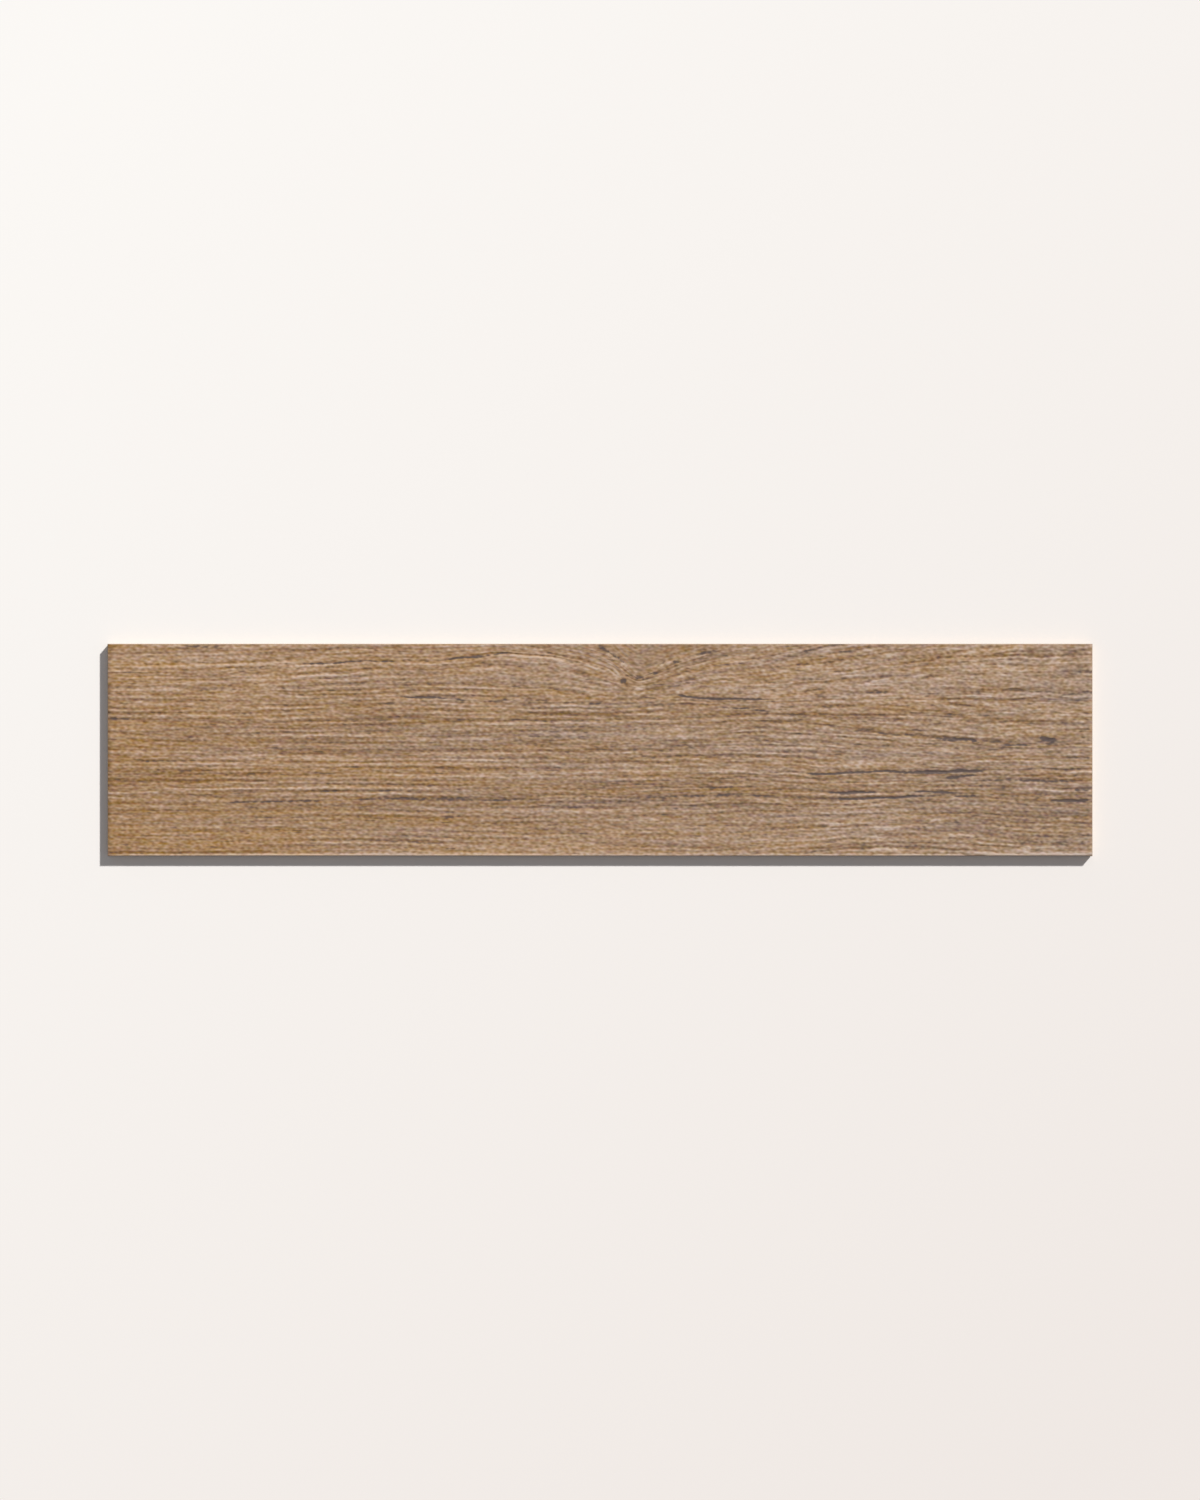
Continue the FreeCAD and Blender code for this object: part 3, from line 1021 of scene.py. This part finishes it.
def outward(tree, x, y):
    """x and y, each turned to the side of the centre on which a point lies."""
    place = axes(tree, object_places(tree))
    return combined(tree, X=calc(tree, "MULTIPLY", calc(tree, "SIGN", place["X"]), x),
                    Y=calc(tree, "MULTIPLY", calc(tree, "SIGN", place["Y"]), y))


def half(tree, whole, less=0.0):
    """Half of what is left of a whole."""
    return calc(tree, "MULTIPLY", calc(tree, "SUBTRACT", whole, less), 0.5)


def leaning_pocket(tree, given):
    """A pocket with clipped corners, whose walls close in from its mouth at height 0 to its floor."""
    # An octagon, whose corners then go to the clipped corners of the mouth
    inputs = {"Vertices": 8, "Radius": 1.0}
    circle = add(tree, "GeometryNodeMeshCircle", inputs, fill_type="NGON").outputs[0]
    inputs = {"Geometry": circle, "Rotation": (0, 0, math.pi / 8)}
    turned = add(tree, "GeometryNodeTransform", inputs).outputs[0]

    place = axes(tree, object_places(tree))
    along = calc(tree, "ABSOLUTE", place["X"])
    across = calc(tree, "ABSOLUTE", place["Y"])
    on_side = calc(tree, "GREATER_THAN", across, along)
    on_end = calc(tree, "SUBTRACT", 1.0, on_side)
    mouth = []
    for pitch, clipped in (("Pitch X", on_side), ("Pitch Y", on_end)):
        clip = calc(tree, "MULTIPLY", given["Pocket clip"], clipped)
        mouth.append(calc(tree, "SUBTRACT", half(tree, given[pitch], given["Rib width"]), clip))
    opened = moved(tree, turned, Position=outward(tree, *mouth))

    inputs = {"Mesh": opened, "Individual": False, "Offset Scale": given["Pocket depth"]}
    floor = add(tree, "GeometryNodeExtrudeMesh", inputs, mode="FACES").outputs
    inward = calc(tree, "MULTIPLY", given["Pocket lean"], -1.0)
    return moved(tree, floor["Mesh"], Selection=floor["Top"], Offset=outward(tree, inward, inward))


def with_ribs(tree, given, pocket):
    """A pocket with half of each rib beside it, added round its mouth."""
    near_mouth = calc(tree, "MULTIPLY", given["Pocket depth"], 0.25)
    at_mouth = calc(tree, "LESS_THAN", axes(tree, object_places(tree))["Z"], near_mouth)
    inputs = {"Mesh": pocket, "Selection": at_mouth, "Offset Scale": 0.0}
    rim = add(tree, "GeometryNodeExtrudeMesh", inputs, mode="EDGES").outputs
    corner = outward(tree, half(tree, given["Pitch X"]), half(tree, given["Pitch Y"]))
    return moved(tree, rim["Mesh"], Selection=rim["Top"], Position=corner)


def key_tree():
    """Geometry nodes for the keyed back: one pocket with its share of the ribs, laid out in rows."""
    inputs = {"Columns": "Int", "Rows": "Int", "Pitch X": "Float", "Pitch Y": "Float", "Rib width": "Float",
              "Pocket depth": "Float", "Pocket lean": "Float", "Pocket clip": "Float", "Material": "Material"}
    tree, given, sockets = new_geometry_tree("keyed_back", inputs)
    pocket = with_ribs(tree, given, leaning_pocket(tree, given))
    spans = {}
    for axis, count in (("X", given["Columns"]), ("Y", given["Rows"])):
        gaps = calc(tree, "SUBTRACT", count, 1.0)
        spans[f"Vertices {axis}"] = count
        spans[f"Size {axis}"] = calc(tree, "MULTIPLY", gaps, given[f"Pitch {axis}"])
    grid = add(tree, "GeometryNodeMeshGrid", spans).outputs["Mesh"]
    laid = add(tree, "GeometryNodeInstanceOnPoints", {"Points": grid, "Instance": pocket}).outputs[0]
    inputs = {"Geometry": realized(tree, laid), "Distance": TOUCHING}
    merged = add(tree, "GeometryNodeMergeByDistance", inputs).outputs[0]
    faced = add(tree, "GeometryNodeFlipFaces", {"Mesh": merged}).outputs[0]
    end_tree(tree, faced, given["Material"])
    return tree, sockets


def add_keyed_back(shell, body, material):
    """Adds the pockets and ribs, and returns the four rows of points round them and their counts."""
    columns, pitch_x = pockets_along(LENGTH, body)
    rows, pitch_y = pockets_along(WIDTH, body)
    values = {"Columns": columns, "Rows": rows, "Pitch X": pitch_x, "Pitch Y": pitch_y,
              "Rib width": body.rib_width, "Pocket depth": body.pocket_depth, "Pocket lean": body.pocket_lean,
              "Pocket clip": body.pocket_clip, "Material": material}
    points, faces = grown(bpy.data.meshes.new("keyed_back"), *key_tree(), values)
    numbers = shell.add_points(points + (0, 0, TILE_LOW.z))
    for face in faces:
        shell.add_face(numbers[list(face)], BACK)

    half_x, half_y = columns * pitch_x / 2, rows * pitch_y / 2
    rim = []
    for axis, edge, step in ((1, -half_y, 1), (0, half_x, 1), (1, half_y, -1), (0, -half_x, -1)):
        on_edge = np.flatnonzero(abs(points[:, axis] - edge) < 2 * TOUCHING)
        order = np.argsort(points[on_edge, 1 - axis])[::step]
        rim.append(numbers[on_edge[order]])
    return rim, (columns, rows)


def bake_places(shell):
    """A place on a square sheet for each corner of each face: wood above, edges between, back below."""
    corners = np.concatenate([np.array(face) for face in shell.faces])
    region = np.repeat(shell.regions, [len(face) for face in shell.faces])
    x, y, z = np.array(shell.points)[corners].T
    along = (x - TILE_LOW.x) / LENGTH
    across = (y - TILE_LOW.y) / WIDTH
    inset = np.minimum(LENGTH / 2 - abs(x), WIDTH / 2 - abs(y))
    unrolled = z + inset * np.sign(z - THICKNESS / 2)
    climb = (unrolled + SHEET_BEVEL) / (THICKNESS + 2 * SHEET_BEVEL)
    sheet = np.empty((len(corners), 2))
    for side, (left, wide, low, tall) in SHEET.items():
        here = region == side
        sideways = across if side in (LEFT, RIGHT) else along
        upwards = climb if side in SIDES else across
        sheet[here, 0] = left + wide * sideways[here]
        sheet[here, 1] = low + tall * upwards[here]
    return sheet


def tile_mesh(printed, body, materials):
    """The whole tile as one closed mesh, with the attributes that its finishes read."""
    face = WoodFace(printed)
    shell = Shell()
    face_rim, counts = add_face_grid(shell, face, pressed_depth(face, printed, materials[FINISHES[FACE]]))
    half_x, half_y = LENGTH / 2, WIDTH / 2
    under_arris = ring(shell, half_x, half_y, TILE_HIGH.z - printed.arris, counts)
    key_rim, key_counts = add_keyed_back(shell, body, materials[FINISHES[BACK]])
    over_bevel = ring(shell, half_x, half_y, TILE_LOW.z + body.back_bevel, key_counts)
    back_rim = ring(shell, half_x - body.back_bevel, half_y - body.back_bevel, TILE_LOW.z, key_counts)
    for number, side in enumerate(SIDES):
        shell.zip_sides(face_rim[number], under_arris[number], side)
        shell.zip_sides(under_arris[number], over_bevel[number], side)
        shell.zip_sides(over_bevel[number], back_rim[number], side)
        shell.zip_sides(back_rim[number], key_rim[number], BACK)

    mesh = bpy.data.meshes.new("plank_tile_porcelain")
    mesh.from_pydata(shell.points, [], shell.faces)
    for material in materials:
        mesh.materials.append(material)
    regions = np.array(shell.regions)
    mesh.polygons.foreach_set("material_index", FINISHES[regions])
    mesh.polygons.foreach_set("use_smooth", regions == FACE)
    face.mark(mesh)
    sheet = mesh.uv_layers.new(name="OFBake")
    sheet.uv.foreach_set("vector", bake_places(shell).astype(np.float32).ravel())
    mesh.update()
    return mesh


# The stage


def floor_finish(stage):
    """A pale floor with a painted light falloff: its colour grows a little darker from the upper left to the
    lower right.
    """
    material, tree, shader = new_material("pale_floor_with_painted_shade")
    place = axes(tree, object_places(tree))
    slope = calc(tree, "SUBTRACT", place["X"], calc(tree, "MULTIPLY", place["Y"], FLOOR_LEAN))
    painted_shade = spread(tree, slope, -FLOOR_REACH, FLOOR_REACH)
    colour = mix(tree, painted_shade, opaque(stage.floor_painted_lit), opaque(stage.floor_painted_shade))
    join(tree, shader.inputs["Base Color"], colour)
    shader.inputs["Roughness"].default_value = 0.9
    shader.inputs["Specular IOR Level"].default_value = 0.0
    return material


def lay_floor(scene, stage):
    """A level square floor just under the tile."""
    half_side = stage.floor_size / 2
    z = TILE_LOW.z - FLOOR_GAP * MM
    corners = [(x * half_side, y * half_side, z) for x, y in ((-1, -1), (1, -1), (1, 1), (-1, 1))]
    mesh = bpy.data.meshes.new("floor")
    mesh.from_pydata(corners, [], [(0, 1, 2, 3)])
    mesh.materials.append(floor_finish(stage))
    floor = bpy.data.objects.new("floor", mesh)
    scene.collection.objects.link(floor)


def set_lights(scene, stage):
    """A fairly crisp key from the upper right, and even light from all round."""
    sun = bpy.data.lights.new("key", "SUN")
    sun.energy = stage.key_strength
    sun.angle = math.radians(KEY_ANGLE)
    key = bpy.data.objects.new("key", sun)
    key.rotation_euler = Vector(KEY_TOWARDS).to_track_quat("Z", "Y").to_euler()
    scene.collection.objects.link(key)
    world = bpy.data.worlds.new("studio")
    world.use_nodes = True
    background = world.node_tree.nodes["Background"]
    background.inputs["Color"].default_value = FILL_COLOUR
    background.inputs["Strength"].default_value = stage.fill_strength
    scene.world = world
    scene.view_settings.view_transform = "Standard"


def set_camera(scene, stage):
    """A long lens straight above the tile's centre, as far off as frames the tile like the photo."""
    lens = bpy.data.cameras.new("camera")
    lens.lens = stage.lens
    lens.sensor_width = SENSOR_WIDTH
    seen_height = LENGTH * PHOTO_HEIGHT / TILE_LENGTH_IN_PHOTO
    distance = seen_height * stage.lens / lens.sensor_width
    camera = bpy.data.objects.new("camera", lens)
    camera.location = (0, 0, TILE_HIGH.z + distance)
    lens.clip_end = 30 * distance  # past the far edge of the floor
    scene.collection.objects.link(camera)
    scene.camera = camera


# Operators and panel


class MakeTile(bpy.types.Operator):
    """Builds the plank tile and puts it in the place of its plain solid"""

    bl_idname = "plank_tile.make_tile"
    bl_label = "Make tile"

    def execute(self, context):
        face = context.scene.printed_face
        body = context.scene.porcelain_body
        materials = (printed_glaze(face), ground_body(body), pressed_back(body))
        tile = bpy.data.objects.new("plank_tile_porcelain", tile_mesh(face, body, materials))
        context.scene.collection.objects.link(tile)
        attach(tile, "root")
        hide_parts(NODE)
        return {"FINISHED"}


class MakeStage(bpy.types.Operator):
    """Lays the pale floor, sets the lights and looks straight down on the tile"""

    bl_idname = "plank_tile.make_stage"
    bl_label = "Make stage"

    def execute(self, context):
        stage = context.scene.tile_stage
        lay_floor(context.scene, stage)
        set_lights(context.scene, stage)
        set_camera(context.scene, stage)
        return {"FINISHED"}


class TilePanel(bpy.types.Panel):
    """The tile's settings and operators in the sidebar"""

    bl_idname = "VIEW3D_PT_plank_tile"
    bl_label = "Plank tile"
    bl_space_type = "VIEW_3D"
    bl_region_type = "UI"
    bl_category = "Plank tile"

    def draw(self, context):
        for name in GROUPS:
            settings = getattr(context.scene, name)
            for key in settings.__annotations__:
                self.layout.prop(settings, key)
        for operator in (MakeTile, MakeStage):
            self.layout.operator(operator.bl_idname)


GROUPS = {"printed_face": PrintedFaceSettings, "porcelain_body": BodySettings, "tile_stage": StageSettings}
CLASSES = (*GROUPS.values(), MakeTile, MakeStage, TilePanel)


def register():
    """Makes the settings, operators and panel known, and puts the settings on the scene."""
    for kind in CLASSES:
        bpy.utils.register_class(kind)
    for name, kind in GROUPS.items():
        setattr(bpy.types.Scene, name, PointerProperty(type=kind))


def unregister():
    """Takes back what register did."""
    for name in GROUPS:
        delattr(bpy.types.Scene, name)
    for kind in reversed(CLASSES):
        bpy.utils.unregister_class(kind)


def main():
    """Builds the tile and its stage."""
    register()
    bpy.ops.plank_tile.make_tile()
    bpy.ops.plank_tile.make_stage()


if __name__ == "__main__":
    main()
